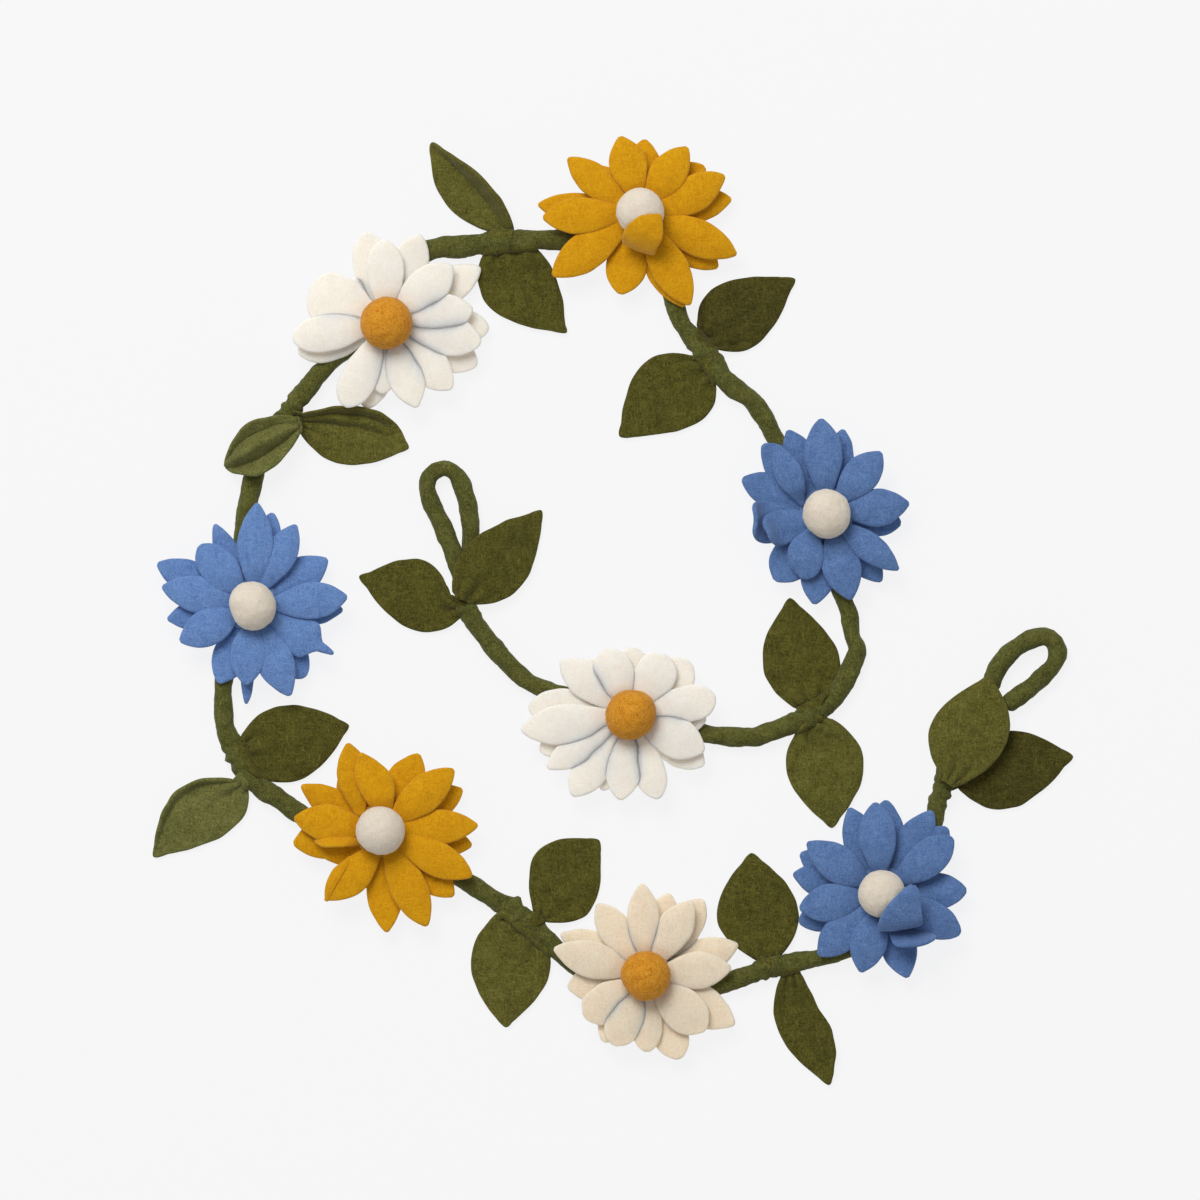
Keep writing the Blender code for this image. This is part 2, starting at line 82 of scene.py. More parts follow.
def felt(name, dark, middle, light, fleck, fleck_share=0.5, sheen=0.5, depth=0.00025, coarse=150.0,
         fine=1100.0, glow=0.0, clouding=0.15):
    """Matt felted wool: clouds of colour, single fibres and a nap."""
    material = bpy.data.materials.new(name)
    material.use_nodes = True
    nodes, links = material.node_tree.nodes, material.node_tree.links
    shader = nodes["Principled BSDF"]
    where = nodes.new("ShaderNodeTexCoord")

    def cloud(scale, detail, distortion, rough=0.6, stretch=None, turn=None):
        texture = nodes.new("ShaderNodeTexNoise")
        texture.inputs["Scale"].default_value = scale
        texture.inputs["Detail"].default_value = detail
        texture.inputs["Roughness"].default_value = rough
        texture.inputs["Distortion"].default_value = distortion
        if stretch:
            mapping = nodes.new("ShaderNodeMapping")
            mapping.inputs["Rotation"].default_value = turn
            mapping.inputs["Scale"].default_value = stretch
            links.new(where.outputs["Object"], mapping.inputs["Vector"])
            links.new(mapping.outputs["Vector"], texture.inputs["Vector"])
        else:
            links.new(where.outputs["Object"], texture.inputs["Vector"])
        return texture.outputs["Fac"]

    def mix(kind, a, b, share):
        node = nodes.new("ShaderNodeMath")
        node.operation = kind
        for socket, value in zip(node.inputs, (a, b, share)):
            if value is None:
                continue
            if isinstance(value, (int, float)):
                socket.default_value = value
            else:
                links.new(value, socket)
        return node.outputs[0]

    clouds = cloud(coarse, 3.0, 0.4)
    fibres_a = cloud(fine, 3.0, 1.5, 0.7, (1.0, 0.22, 1.0), (0.0, 0.0, 0.6))
    fibres_b = cloud(fine, 3.0, 1.5, 0.7, (0.22, 1.0, 1.0), (0.0, 0.0, 0.3))
    grain = cloud(fine * 1.6, 2.0, 0.0, 0.7)
    fibres = mix("MAXIMUM", fibres_a, fibres_b, None)
    fine_tone = mix("MULTIPLY_ADD", fibres, 0.6, mix("MULTIPLY", grain, 0.42 - clouding, None))
    tone = mix("MULTIPLY_ADD", clouds, clouding, fine_tone)
    ramp = nodes.new("ShaderNodeValToRGB")
    links.new(tone, ramp.inputs["Fac"])
    ramp.color_ramp.elements[0].position = 0.44
    ramp.color_ramp.elements[0].color = dark
    ramp.color_ramp.elements[1].position = 0.68
    ramp.color_ramp.elements[1].color = light
    between = ramp.color_ramp.elements.new(0.55)
    between.color = middle

    spots = cloud(fine * 0.55, 2.0, 2.5, 0.6, (1.0, 0.4, 1.0), (0.0, 0.0, 1.1))
    spot_ramp = nodes.new("ShaderNodeValToRGB")
    spot_ramp.color_ramp.elements[0].position = 0.60
    spot_ramp.color_ramp.elements[0].color = (0, 0, 0, 1)
    spot_ramp.color_ramp.elements[1].position = 0.74
    spot_ramp.color_ramp.elements[1].color = (fleck_share, fleck_share, fleck_share, 1)
    links.new(spots, spot_ramp.inputs["Fac"])
    blend = nodes.new("ShaderNodeMix")
    blend.data_type = "RGBA"
    links.new(spot_ramp.outputs["Color"], blend.inputs["Factor"])
    links.new(ramp.outputs["Color"], blend.inputs["A"])
    blend.inputs["B"].default_value = fleck
    links.new(blend.outputs["Result"], shader.inputs["Base Color"])

    rough = nodes.new("ShaderNodeMapRange")
    rough.inputs["To Min"].default_value = 0.82
    rough.inputs["To Max"].default_value = 1.0
    links.new(fibres, rough.inputs["Value"])
    links.new(rough.outputs["Result"], shader.inputs["Roughness"])
    shader.inputs["Specular IOR Level"].default_value = 0.15
    shader.inputs["Sheen Weight"].default_value = sheen
    shader.inputs["Sheen Roughness"].default_value = 0.45
    shader.inputs["Sheen Tint"].default_value = tuple(0.35 + 0.65 * c for c in light[:3]) + (1.0,)
    if glow:
        shader.inputs["Subsurface Weight"].default_value = glow
        shader.inputs["Subsurface Radius"].default_value = (1.0, 0.85, 0.7)
        shader.inputs["Subsurface Scale"].default_value = GLOW_REACH

    coarse_nap = mix("MULTIPLY_ADD", grain, 0.4, mix("MULTIPLY", clouds, 0.6, None))
    nap = mix("MULTIPLY_ADD", fibres, 0.6, coarse_nap)
    bump = nodes.new("ShaderNodeBump")
    bump.inputs["Strength"].default_value = 0.7
    bump.inputs["Distance"].default_value = depth
    links.new(nap, bump.inputs["Height"])
    links.new(bump.outputs["Normal"], shader.inputs["Normal"])
    return material


FELTS = {
    "vine": felt("vine_felt", linear(52, 52, 18), linear(86, 87, 38), linear(118, 118, 62),
                 linear(140, 140, 84), 0.55, 0.3, 0.0004),
    "leaf": felt("leaf_felt", linear(50, 46, 10), linear(82, 79, 28), linear(110, 105, 47),
                 linear(134, 127, 68), 0.45, 0.3, 0.0003),
    "leaf_light": felt("leaf_light_felt", linear(61, 58, 17), linear(94, 91, 37), linear(124, 119, 60),
                       linear(148, 141, 82), 0.45, 0.3, 0.0003),
    "leaf_dark": felt("leaf_dark_felt", linear(42, 38, 8), linear(71, 67, 23), linear(98, 93, 40),
                      linear(122, 115, 60), 0.4, 0.3, 0.0003),
    "leaf_pale": felt("leaf_pale_felt", linear(70, 71, 30), linear(104, 105, 54), linear(134, 134, 80),
                      linear(160, 158, 104), 0.45, 0.3, 0.0003),
    "yellow": felt("yellow_felt", linear(186, 124, 3), linear(209, 150, 9), linear(222, 167, 24),
                   linear(230, 184, 64), 0.3),
    "blue": felt("blue_felt", linear(71, 98, 146), linear(91, 121, 170), linear(111, 141, 189),
                 linear(144, 168, 206), 0.3),
    "blue_pale": felt("blue_pale_felt", linear(80, 110, 162), linear(102, 135, 189), linear(122, 155, 206),
                      linear(154, 180, 220), 0.3),
    "white": felt("white_felt", linear(234, 226, 214), linear(241, 235, 226), linear(246, 242, 236),
                  linear(250, 246, 240), 0.3, 0.15, glow=0.7),
    "beige": felt("beige_felt", linear(222, 206, 182), linear(234, 220, 199), linear(241, 230, 213),
                  linear(247, 239, 224), 0.3, 0.15, glow=0.7),
    "cream": felt("cream_felt", linear(210, 198, 180), linear(222, 211, 195), linear(231, 222, 208),
                  linear(238, 231, 219), 0.3, 0.2, coarse=110.0, glow=0.3),
    "orange": felt("orange_felt", linear(170, 100, 14), linear(208, 142, 38), linear(222, 164, 62),
                   linear(236, 190, 110), 0.4, 0.25, coarse=220.0)}


# Mesh helpers
def wobble(points, scale, seed=0.0):
    """Smooth noise from -1 to 1 at each point."""
    flat = points.reshape(-1, 3) * scale
    values = [noise.noise(Vector((x + seed, y - seed, z))) for x, y, z in flat]
    return np.array(values).reshape(points.shape[:-1])


def add_piece(name, parts, material):
    """One object from (verts, faces) parts, riding on the part."""
    verts, faces = [], []
    for points, quads in parts:
        faces += [tuple(int(k) + len(verts) for k in quad) for quad in quads]
        verts += points.tolist()
    mesh = bpy.data.meshes.new(name)
    mesh.from_pydata(verts, [], faces)
    mesh.validate()
    mesh.shade_smooth()
    mesh.materials.append(material)
    piece = bpy.data.objects.new(name, mesh)
    bpy.context.scene.collection.objects.link(piece)
    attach(piece, "root")
    return piece


def unit(vectors):
    return vectors / np.maximum(np.linalg.norm(vectors, axis=-1, keepdims=True), 1e-12)


def on_curve(stops, i, t):
    """The point a share t of the way from stop i to the next one, on a smooth curve through all."""
    near = stops[max(i - 1, 0)], stops[i], stops[i + 1], stops[min(i + 2, len(stops) - 1)]
    weights = (-t + 2 * t**2 - t**3, 2 - 5 * t**2 + 3 * t**3, t + 4 * t**2 - 3 * t**3, -t**2 + t**3)
    return sum(stop * weight for stop, weight in zip(near, weights)) / 2


def sheet_columns(half_widths, soft, inner):
    """Places across each row of a sheet from -1 to 1, and how far each is from the edge."""
    edge_shares = np.array((0.0, 0.1, 0.32, 0.65))
    rows_v, rows_d, rounds = [], [], []
    for half in half_widths:
        rim = min(soft, 0.75 * half)
        from_edge = np.concatenate((edge_shares * rim, np.linspace(rim, half, inner // 2 + 1)))
        across = 1.0 - from_edge / half
        rows_v.append(np.concatenate((-across, across[-2::-1])))
        rows_d.append(np.concatenate((from_edge, from_edge[-2::-1])))
        rounds.append(rim)
    return np.array(rows_v), np.array(rows_d), np.array(rounds)


def felt_sheet(points, distance, rounds, half_widths, thickness, soft):
    """Closes a grid of mid-surface points into a felt sheet with rounded edges."""
    along = np.gradient(points, axis=0)
    across = np.gradient(points, axis=1)
    normals = unit(np.cross(along, across))
    normals[-1] = normals[-2]
    if normals[..., 2].mean() < 0:
        normals = -normals
    share = np.clip(distance / rounds[:, None], 0, 1)
    half = thickness / 2 * np.sqrt(1 - (1 - share) ** 2)
    half *= np.minimum(1.0, np.sqrt(half_widths / soft))[:, None]
    top = points + normals * half[..., None]
    bottom = points - normals * half[..., None]
    rows, columns = half.shape
    top_at = np.arange(rows * columns).reshape(rows, columns)
    bottom_at = np.full((rows, columns), -1)
    bottom_at[:, 0], bottom_at[:, -1] = top_at[:, 0], top_at[:, -1]
    inner = (columns - 2) * rows
    bottom_at[:, 1:-1] = rows * columns + np.arange(inner).reshape(rows, columns - 2)
    verts = np.concatenate((top.reshape(-1, 3), bottom[:, 1:-1].reshape(-1, 3)))
    faces = []
    for i in range(rows - 1):
        for j in range(columns - 1):
            faces.append((top_at[i, j], top_at[i, j + 1], top_at[i + 1, j + 1], top_at[i + 1, j]))
            faces.append((bottom_at[i, j], bottom_at[i + 1, j], bottom_at[i + 1, j + 1],
                          bottom_at[i, j + 1]))
    for i in (0, rows - 1):
        for j in range(columns - 1):
            ring = [top_at[i, j], top_at[i, j + 1], bottom_at[i, j + 1], bottom_at[i, j]]
            ring = [v for k, v in enumerate(ring) if v not in ring[:k]]
            if len(ring) > 2:
                faces.append(tuple(ring if i else ring[::-1]))
    return verts, faces


# Vine: one rope from end to end
Bend = namedtuple("Bend", "x y half")
ROPE = [Bend(*row) for row in (
    (471, 556, 7.5), (471, 548, 8.3), (470.5, 541, 8.6), (471, 535, 8.7), (471, 525, 9),
    (469, 510, 9.3), (465.5, 495, 9.4), (461, 482, 9.2),
    (454, 472.5, 8.5), (443, 468.5, 8), (431, 475, 8.5), (427.5, 487, 8.8), (430.5, 500, 9.2),
    (437, 514, 9.2), (444, 530, 9.2), (454, 554, 9.2), (460, 572, 9.2), (464, 590, 9.2),
    (467, 607, 9.3), (475, 622, 9.5), (486, 638, 9.7), (500, 655, 9.7), (517, 672, 9.2), (536, 686, 8.6),
    (580, 698, 9), (630, 712, 9), (675, 726, 9), (715, 735, 9.5), (750, 737, 10), (770, 732, 9.7),
    (785, 727, 10.5), (806, 716, 10.5), (828, 703, 10), (842, 686, 10), (851, 668, 10.5), (857, 650, 8.5),
    (852, 635, 8.5), (849, 615, 8.7), (843, 598, 8.7), (828, 560, 9), (812, 514, 9), (793, 466, 9),
    (774, 436, 9), (768, 424, 9.5), (760, 411, 9.5), (749, 398, 10), (737, 390, 10.5), (724, 379, 10.7),
    (713, 363, 10.5), (698, 345, 10), (685, 328, 9.5), (678, 315, 9.5), (673, 300, 9.5), (660, 264, 9),
    (632, 238, 9), (600, 235, 9.5), (565, 240, 10), (540, 240, 10), (515, 241, 10.8), (490, 243, 11.2),
    (465, 246, 10.8), (435, 249, 10.8), (408, 262, 10), (382, 296, 9), (356, 338, 9), (323, 370, 9.3),
    (311, 384, 9.8), (300, 398, 9.8), (290, 411, 9.5), (278, 426, 9.5), (268, 442, 9.5), (260, 458, 9.7),
    (254, 476, 10.2), (251, 490, 10.5), (248, 503, 10.4), (245, 520, 9.5), (241, 560, 9), (233, 625, 9),
    (225, 675, 9), (223, 700, 9.4), (224, 715, 9.5), (226, 728, 9.5), (231, 742, 10), (238, 756, 10.8),
    (244, 769, 10.8), (252, 780, 10), (264, 790, 10), (276, 797, 10.3), (288, 805, 10.3), (300, 813, 10),
    (335, 832, 9), (381, 848, 9), (430, 865, 9), (465, 881, 9), (478, 888, 9.5), (490, 896, 9.5),
    (503, 905, 9.8), (515, 912, 10.8), (528, 922, 11.4), (540, 933, 10.8), (551, 944, 9.5), (562, 956, 8.6),
    (576, 967, 8), (600, 979, 8.5), (645, 990, 9), (690, 991, 9), (722, 985, 9), (740, 978, 9.4),
    (760, 970, 9.6), (780, 966, 9.8), (800, 961, 9.4), (820, 957, 8.8), (845, 951, 8), (880, 930, 8.5),
    (910, 885, 8.5), (926, 850, 8.5), (934, 822, 8.8), (936, 810, 9), (939, 797, 9.5),
    (943, 783, 9.5), (947, 770, 9.5), (954, 755, 9.5), (963, 737, 9.5), (973, 718, 9.3), (982, 702, 9),
    (990, 686, 9), (997, 669, 9.8), (1007, 655, 9.8), (1019, 646, 9.4), (1031, 639.5, 9.4),
    (1043, 636.5, 9.3), (1053, 641, 9.3), (1057, 652, 9.3), (1053, 664, 9), (1044, 674.5, 9.2),
    (1034, 684, 9.4), (1023, 693, 9.5), (1012, 700.5, 9.4), (1003, 707, 9))]
# the middles of the joins where leaves are felted on
KNOTS = ((502, 243), (704, 354), (811, 713), (294, 406), (236, 758), (519, 914), (772, 967),
         (466, 604), (941, 788))
KNOT_REACH = 0.008        # how far a wrapped join thickens the rope
KNOB = (517, 898)         # a small knob of fibre that stands out of a join
KNOB_REACH = 0.0026
KNOB_SHARE = 0.6          # how far it stands out, as a share of the rope's radius
TWIST_PITCH = 0.017       # length of rope in one turn of its twist
WRAP_PITCHES = (0.0055, 0.0075)   # the same for the two crossing wraps at a join
END_ROUNDING = 0.004
ROPE_STEP = 0.0015
ROPE_SIDES = 22


def rope_route():
    """Even points along the rope's middle line, with its half width at each."""
    spots = np.array([place(b.x, b.y) for b in ROPE])
    halves = np.array([b.half * GRID for b in ROPE])
    fine, widths = [], []
    parts = 16
    for i in range(len(ROPE) - 1):
        for k in range(parts):
            t = k / parts
            fine.append(on_curve(spots, i, t))
            widths.append(halves[i] * (1 - t) + halves[i + 1] * t)
    fine.append(spots[-1])
    widths.append(halves[-1])
    fine, widths = np.array(fine), np.array(widths)
    run = np.concatenate(((0,), np.cumsum(np.linalg.norm(np.diff(fine, axis=0), axis=1))))
    want = np.linspace(0, run[-1], round(run[-1] / ROPE_STEP) + 1)
    route = np.stack([np.interp(want, run, fine[:, k]) for k in range(2)], axis=1)
    return route, np.interp(want, run, widths), want


def make_rope():
    """The lumpy, slightly twisted rope; returns its middle line and half widths."""
    route, halves, run = rope_route()
    heading = unit(np.gradient(route, axis=0))
    across = np.stack((-heading[:, 1], heading[:, 0]), axis=1)
    angles = np.arange(ROPE_SIDES) * 2 * math.pi / ROPE_SIDES
    rise = VINE_HEIGHT / 2
    ring_points = np.zeros((len(route), ROPE_SIDES, 3))
    for k, angle in enumerate(angles):
        ring_points[:, k, :2] = route + across * (halves * math.cos(angle))[:, None]
        ring_points[:, k, 2] = rise * (1 + math.sin(angle))
    lump = (0.13 * wobble(ring_points, 120) + 0.075 * wobble(ring_points, 330, 7)
            + 0.03 * wobble(ring_points, 800, 3))
    twist = np.sin(angles[None, :] * 2 + run[:, None] * 2 * math.pi / TWIST_PITCH)
    knot = np.zeros(len(route))
    for spot in KNOTS:
        knot = np.maximum(knot, np.exp(-(np.linalg.norm(route - place(*spot), axis=1) / KNOT_REACH) ** 2))
    wraps = (0.14 * np.sin(angles[None, :] + run[:, None] * 2 * math.pi / WRAP_PITCHES[0] + 4 * lump)
             + 0.10 * np.sin(-angles[None, :] + run[:, None] * 2 * math.pi / WRAP_PITCHES[1] + 3 * lump))
    size = 1 + lump * (1 + 0.8 * knot[:, None]) + 0.045 * twist + knot[:, None] * (0.05 + wraps)
    from_knob = np.linalg.norm(ring_points[..., :2] - place(*KNOB), axis=2)
    size += KNOB_SHARE * np.exp(-(from_knob / KNOB_REACH) ** 2)
    ends = np.minimum(run, run[-1] - run)
    size *= np.sqrt(np.clip(1 - (1 - np.minimum(ends / END_ROUNDING, 1)) ** 2, 0.02, 1))[:, None]
    verts = np.zeros_like(ring_points)
    for k, angle in enumerate(angles):
        verts[:, k, :2] = route + across * (halves * size[:, k] * math.cos(angle))[:, None]
        verts[:, k, 2] = rise * 0.98 * (1 + size[:, k] * math.sin(angle))
    verts[..., 2] = np.maximum(verts[..., 2], 0.0)
    count = len(route)
    at = np.arange(count * ROPE_SIDES).reshape(count, ROPE_SIDES)
    faces = []
    for k in range(ROPE_SIDES):
        m = (k + 1) % ROPE_SIDES
        faces += list(zip(at[:-1, k], at[:-1, m], at[1:, m], at[1:, k]))
    faces.append(tuple(at[0][::-1]))
    faces.append(tuple(at[-1]))
    vine = add_piece("felted_vine", [(verts.reshape(-1, 3), faces)], FELTS["vine"])
    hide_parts("vine", "end_loop_inner", "end_loop_outer")
    return route, halves


vine_route, vine_halves = make_rope()


def vine_distance(points):
    """Distance of each plan point from the vine's side; negative over the vine."""
    flat = points.reshape(-1, 2)
    gap = np.linalg.norm(flat[:, None, :] - vine_route[None, ::2, :], axis=2) - vine_halves[None, ::2]
    return gap.min(axis=1).reshape(points.shape[:-1])


# Flowers
# A petal: angle and reach of its tip, how high it lies over its neighbours, its width and
# how blunt it is; then the side bend of its middle line (grid steps), its roll in degrees
# (left side up), the angle of its root where that differs, how far its tip thins to a tail,
# and the distance of its root.
Petal = namedtuple("Petal", "angle reach lift wide blunt bend roll root nib start",
                   defaults=(1, 1.0, 0.0, 0, 0, None, 0, 11.0))
Flower = namedtuple("Flower", "name felt ball ball_size x y front back")
ROOT_WIDTHS = {"yellow": 0.30, "white": 0.36, "beige": 0.30, "blue": 0.16, "blue_pale": 0.16}
FRONT_RISE = {"yellow": 0.0024, "white": 0.0016, "beige": 0.0016, "blue": 0.0034, "blue_pale": 0.0028}
# where a ball is pressed in or stands out: direction in degrees and share of its radius
DENTS = {"blue_flower_2": ((200, -0.10), (20, -0.02)), "white_flower_2": ((215, -0.08), (40, 0.03)),
         "white_flower_3": ((40, 0.08), (160, -0.02), (290, -0.04)), "yellow_flower_2": ((235, -0.02),),
         "blue_flower_1": ((320, 0.02), (225, -0.02)), "blue_flower_3": (), "yellow_flower_1": (),
         "white_flower_1": ((60, 0.02),)}
P = Petal
FLOWERS = [
    Flower("yellow_flower_1", "yellow", "cream", (23.9, 1.0, 0), 640, 213,
           (P(20, 92, 2, 1.0, -0.1, 9, root=-10), P(54, 80, 4), P(104, 78, 3),
            P(143, 90, 1, 0.88, root=165), P(183.5, 97, 4),
            P(216, 108, 2, 1.05), P(298, 105, 3), P(336, 105, 1, 1.02, roll=9)),
           (P(9, 92, 1), P(35, 79, 1, 1.0, 0.4), P(87, 73, 1), P(179, 102, 2, 0.92, 0, -8),
            P(214, 88, 0), P(256, 84, 3, 1.12, 0.3),
            P(295.5, 104, 2, 1.12), P(325, 95, 0), P(143, 72, 0))),
    Flower("white_flower_1", "white", "orange", (26.0, 1.0, 0), 387, 324,
           (P(10, 87, 3, 1.05, 0.6), P(42, 87, 4, 1.08, 0.4), P(91, 84, 3, 1.0, 0.8),
            P(156, 84, 1, 1.42, 2.4),
            P(189, 95, 4, 1.0, 1.2), P(243.5, 93, 3, 0.98, 1.6), P(290, 89, 3, 0.95, 0.3),
            P(315, 92, 1, 1.05, 0.3), P(349, 96, 2, 1.08, 0.6), P(266, 70, 0, 1.0, 0.5)),
           (P(31, 109, 1, 1.0, 0.3), P(69, 95, 2, 1.05, 0.6), P(104, 94, 1, 1.05, 0.7),
            P(198, 93, 0, 1.0, 1.0),
            P(256, 87, 2, 1.0, 0.3), P(335, 99, 1, 1.1, 0.7), P(357, 102, 0, 1.05, 0.8),
            P(134, 58, 0, 0.8, 0.8))),
    Flower("blue_flower_1", "blue", "cream", (23.8, 1.04, 90), 826, 514,
           (P(7, 83, 1, 1.03), P(48, 82, 3, 0.96, 0.2), P(93, 95, 4, 1.03),
            P(126, 85, 5, 0.76, -0.35, root=162, start=24, roll=-16),
            P(244, 69, 3, 1.0, 0.6, 12, root=225, start=16), P(286, 89, 2, 1.04), P(322, 91, 4, 0.76)),
           (P(79, 86, 1, 0.9), P(115, 92, 2, 0.95), P(132, 94, 1, 1.0, 0.3), P(157, 91, 0, 0.97, 0.2),
            P(233, 84, 1, 1.18, 0.5), P(263, 91, 1), P(309, 87, 1, 0.85),
            P(353, 75, 0, 0.9, 0.6))),
    Flower("blue_flower_2", "blue_pale", "cream", (24.1, 1.02, 120), 253, 606,
           (P(5, 95, 4), P(62, 92, 2, 0.9, -0.1), P(87, 103, 4, 0.97), P(131, 80, 3, 0.98, 0.9),
            P(168, 92, 2),
            P(206, 80, 4, 1.0, 0.3), P(265, 79, 5, 0.95, 0.2), P(292, 97, 3),
            P(328, 94, 0, 1.08, 2.2, 4, nib=0.72)),
           (P(32, 88, 2, 1.02, 0.05), P(78, 95, 1, 0.85, 0.5), P(115, 90, 2, 0.66),
            P(156, 104, 1, 0.95, 0.2),
            P(189, 86, 1, 0.85), P(247, 84, 1, 1.0, 0.1), P(266, 98, 3, 0.35, 0.8), P(306, 88, 1, 1.0, 1.0),
            P(357, 90, 1, 0.9))),
    Flower("yellow_flower_2", "yellow", "cream", (24.4, 1.0, 120), 381, 830,
           (P(3, 97, 1, 0.95), P(40, 95, 4), P(97, 80, 6, 0.98, -0.15, 14, root=66),
            P(111, 93, 1, 0.9, 0.0, roll=16, root=146, start=24),
            P(172, 87, 4, 1.0), P(190, 66, 2, 0.44, 3.0, roll=48, root=214, start=20),
            P(237, 88, 3, 0.98, 0, -11, root=262, start=14), P(296, 106, 2, 1.0), P(333, 102, 4, 0.93)),
           (P(27, 91, 1), P(63, 85, 3, 1.1, 0.05), P(150, 91, 2, 0.84, -0.1, root=168),
            P(188, 88, 2, 1.1, 0.2), P(274, 102, 1),
            P(318, 98, 1), P(351, 92, 1), P(125, 70, 0), P(250, 62, 0), P(205, 62, 0))),
    Flower("white_flower_2", "beige", "orange", (25.0, 1.0, 0), 645, 975,
           (P(6, 86, 2, 1.02), P(58, 88, 4, 0.95, 0.2), P(92, 92, 4, 0.86, 0.2), P(123, 86, 2, 0.9, 0.2),
            P(163, 95, 4, 1.0), P(215, 73, 2, 1.05, 1.6), P(245, 76, 3, 1.0, 1.3), P(272, 76, 1, 0.85, 0.9),
            P(318, 81, 4, 1.15, 0.7)),
           (P(18, 98, 1), P(52, 95, 2, 1.0, 0.8), P(73, 85, 3, 0.9, 0.6), P(153, 94, 1),
            P(189, 78, 2, 1.0, 0.4),
            P(293, 90, 3, 1.0, 1.1), P(331, 102, 2, 1.15), P(238, 78, 0, 1.0, 0.4))),
    Flower("blue_flower_3", "blue", "cream", (23.7, 1.0, 0), 881, 893,
           (P(37, 90, 4, 0.99, 0.5, 2), P(94, 91, 4, 1.0, 0.2), P(146, 90, 4), P(190, 83, 3, 1.02),
            P(225, 88, 1, 1.0),
            P(255, 81, 4), P(333, 88, 1, 0.98, 0.7, roll=12)),
           (P(2, 85, 2, 1.0, 0.2), P(44, 93, 1, 0.95, 0.5), P(58, 97, 2), P(87.5, 93, 1, 1.12),
            P(111, 91, 2),
            P(154, 90, 1), P(168, 90, 2), P(199, 87, 1, 1.0, 0.5), P(288, 88, 1))),
    Flower("white_flower_3", "white", "orange", (25.2, 1.0, 10), 630, 715,
           (P(11, 87, 3, 0.97, 2.2), P(58, 70, 3, 1.12, 1.2), P(110, 70, 4, 1.05, 1.0),
            P(141, 88, 2, 1.0, 0.3),
            P(188, 110, 4, 1.08), P(213, 98, 2, 0.85, 0.3), P(234, 99, 1, 1.0, 0.3),
            P(264, 85, 3, 1.0, 0.3),
            P(289, 88, 2, 0.86, 1.0), P(334, 82, 4, 1.12, 0.15)),
           (P(40, 80, 2, 1.1, 1.5), P(88, 68, 3, 1.0, 1.2), P(127, 70, 1), P(175, 102, 2, 1.12, 0.9),
            P(201, 97, 1, 1.0, 0.5), P(326, 89, 2, 1.0, 0.4), P(357, 76, 1, 1.0, 0.8), P(250, 80, 0)))]
PETAL_SOFT = 0.0014
PETAL_ROWS = 26
PETAL_COLUMNS = 12
LIFT_STEP = 0.0007        # height of one step of a petal's lift
HUB_RADIUS = 27.0         # radius of the joined middle under the ball, in grid steps
PETAL_CROWN = 0.0017      # how far a petal's edges lie below its middle
PETAL_RIPPLE = 0.0004
BACK_DROOP = 0.0042       # how far a free back petal sinks towards its tip
VINE_CLEARANCE = 0.004    # a back petal nearer the rope than this rests on it
STEEP_ROLL = 30           # degrees of roll from which a petal stands on its edge


def petal_widths(shares, middle, blunt, nib, root):
    """Half width of a petal along its length, as a share of its widest."""
    grow = root + (1 - root) * np.sin(math.pi / 2 * np.clip(shares / middle, 0, 1)) ** 1.3
    u = np.clip((shares - middle) / (1 - middle), 0, 1)
    widths = np.where(shares < middle, grow, (1 - u ** (1.75 + blunt)) ** (0.74 - 0.08 * min(blunt, 1.0)))
    tail = np.clip((u - 0.15) / 0.45, 0, 1)
    return widths * (1 - nib * tail * tail * (3 - 2 * tail))


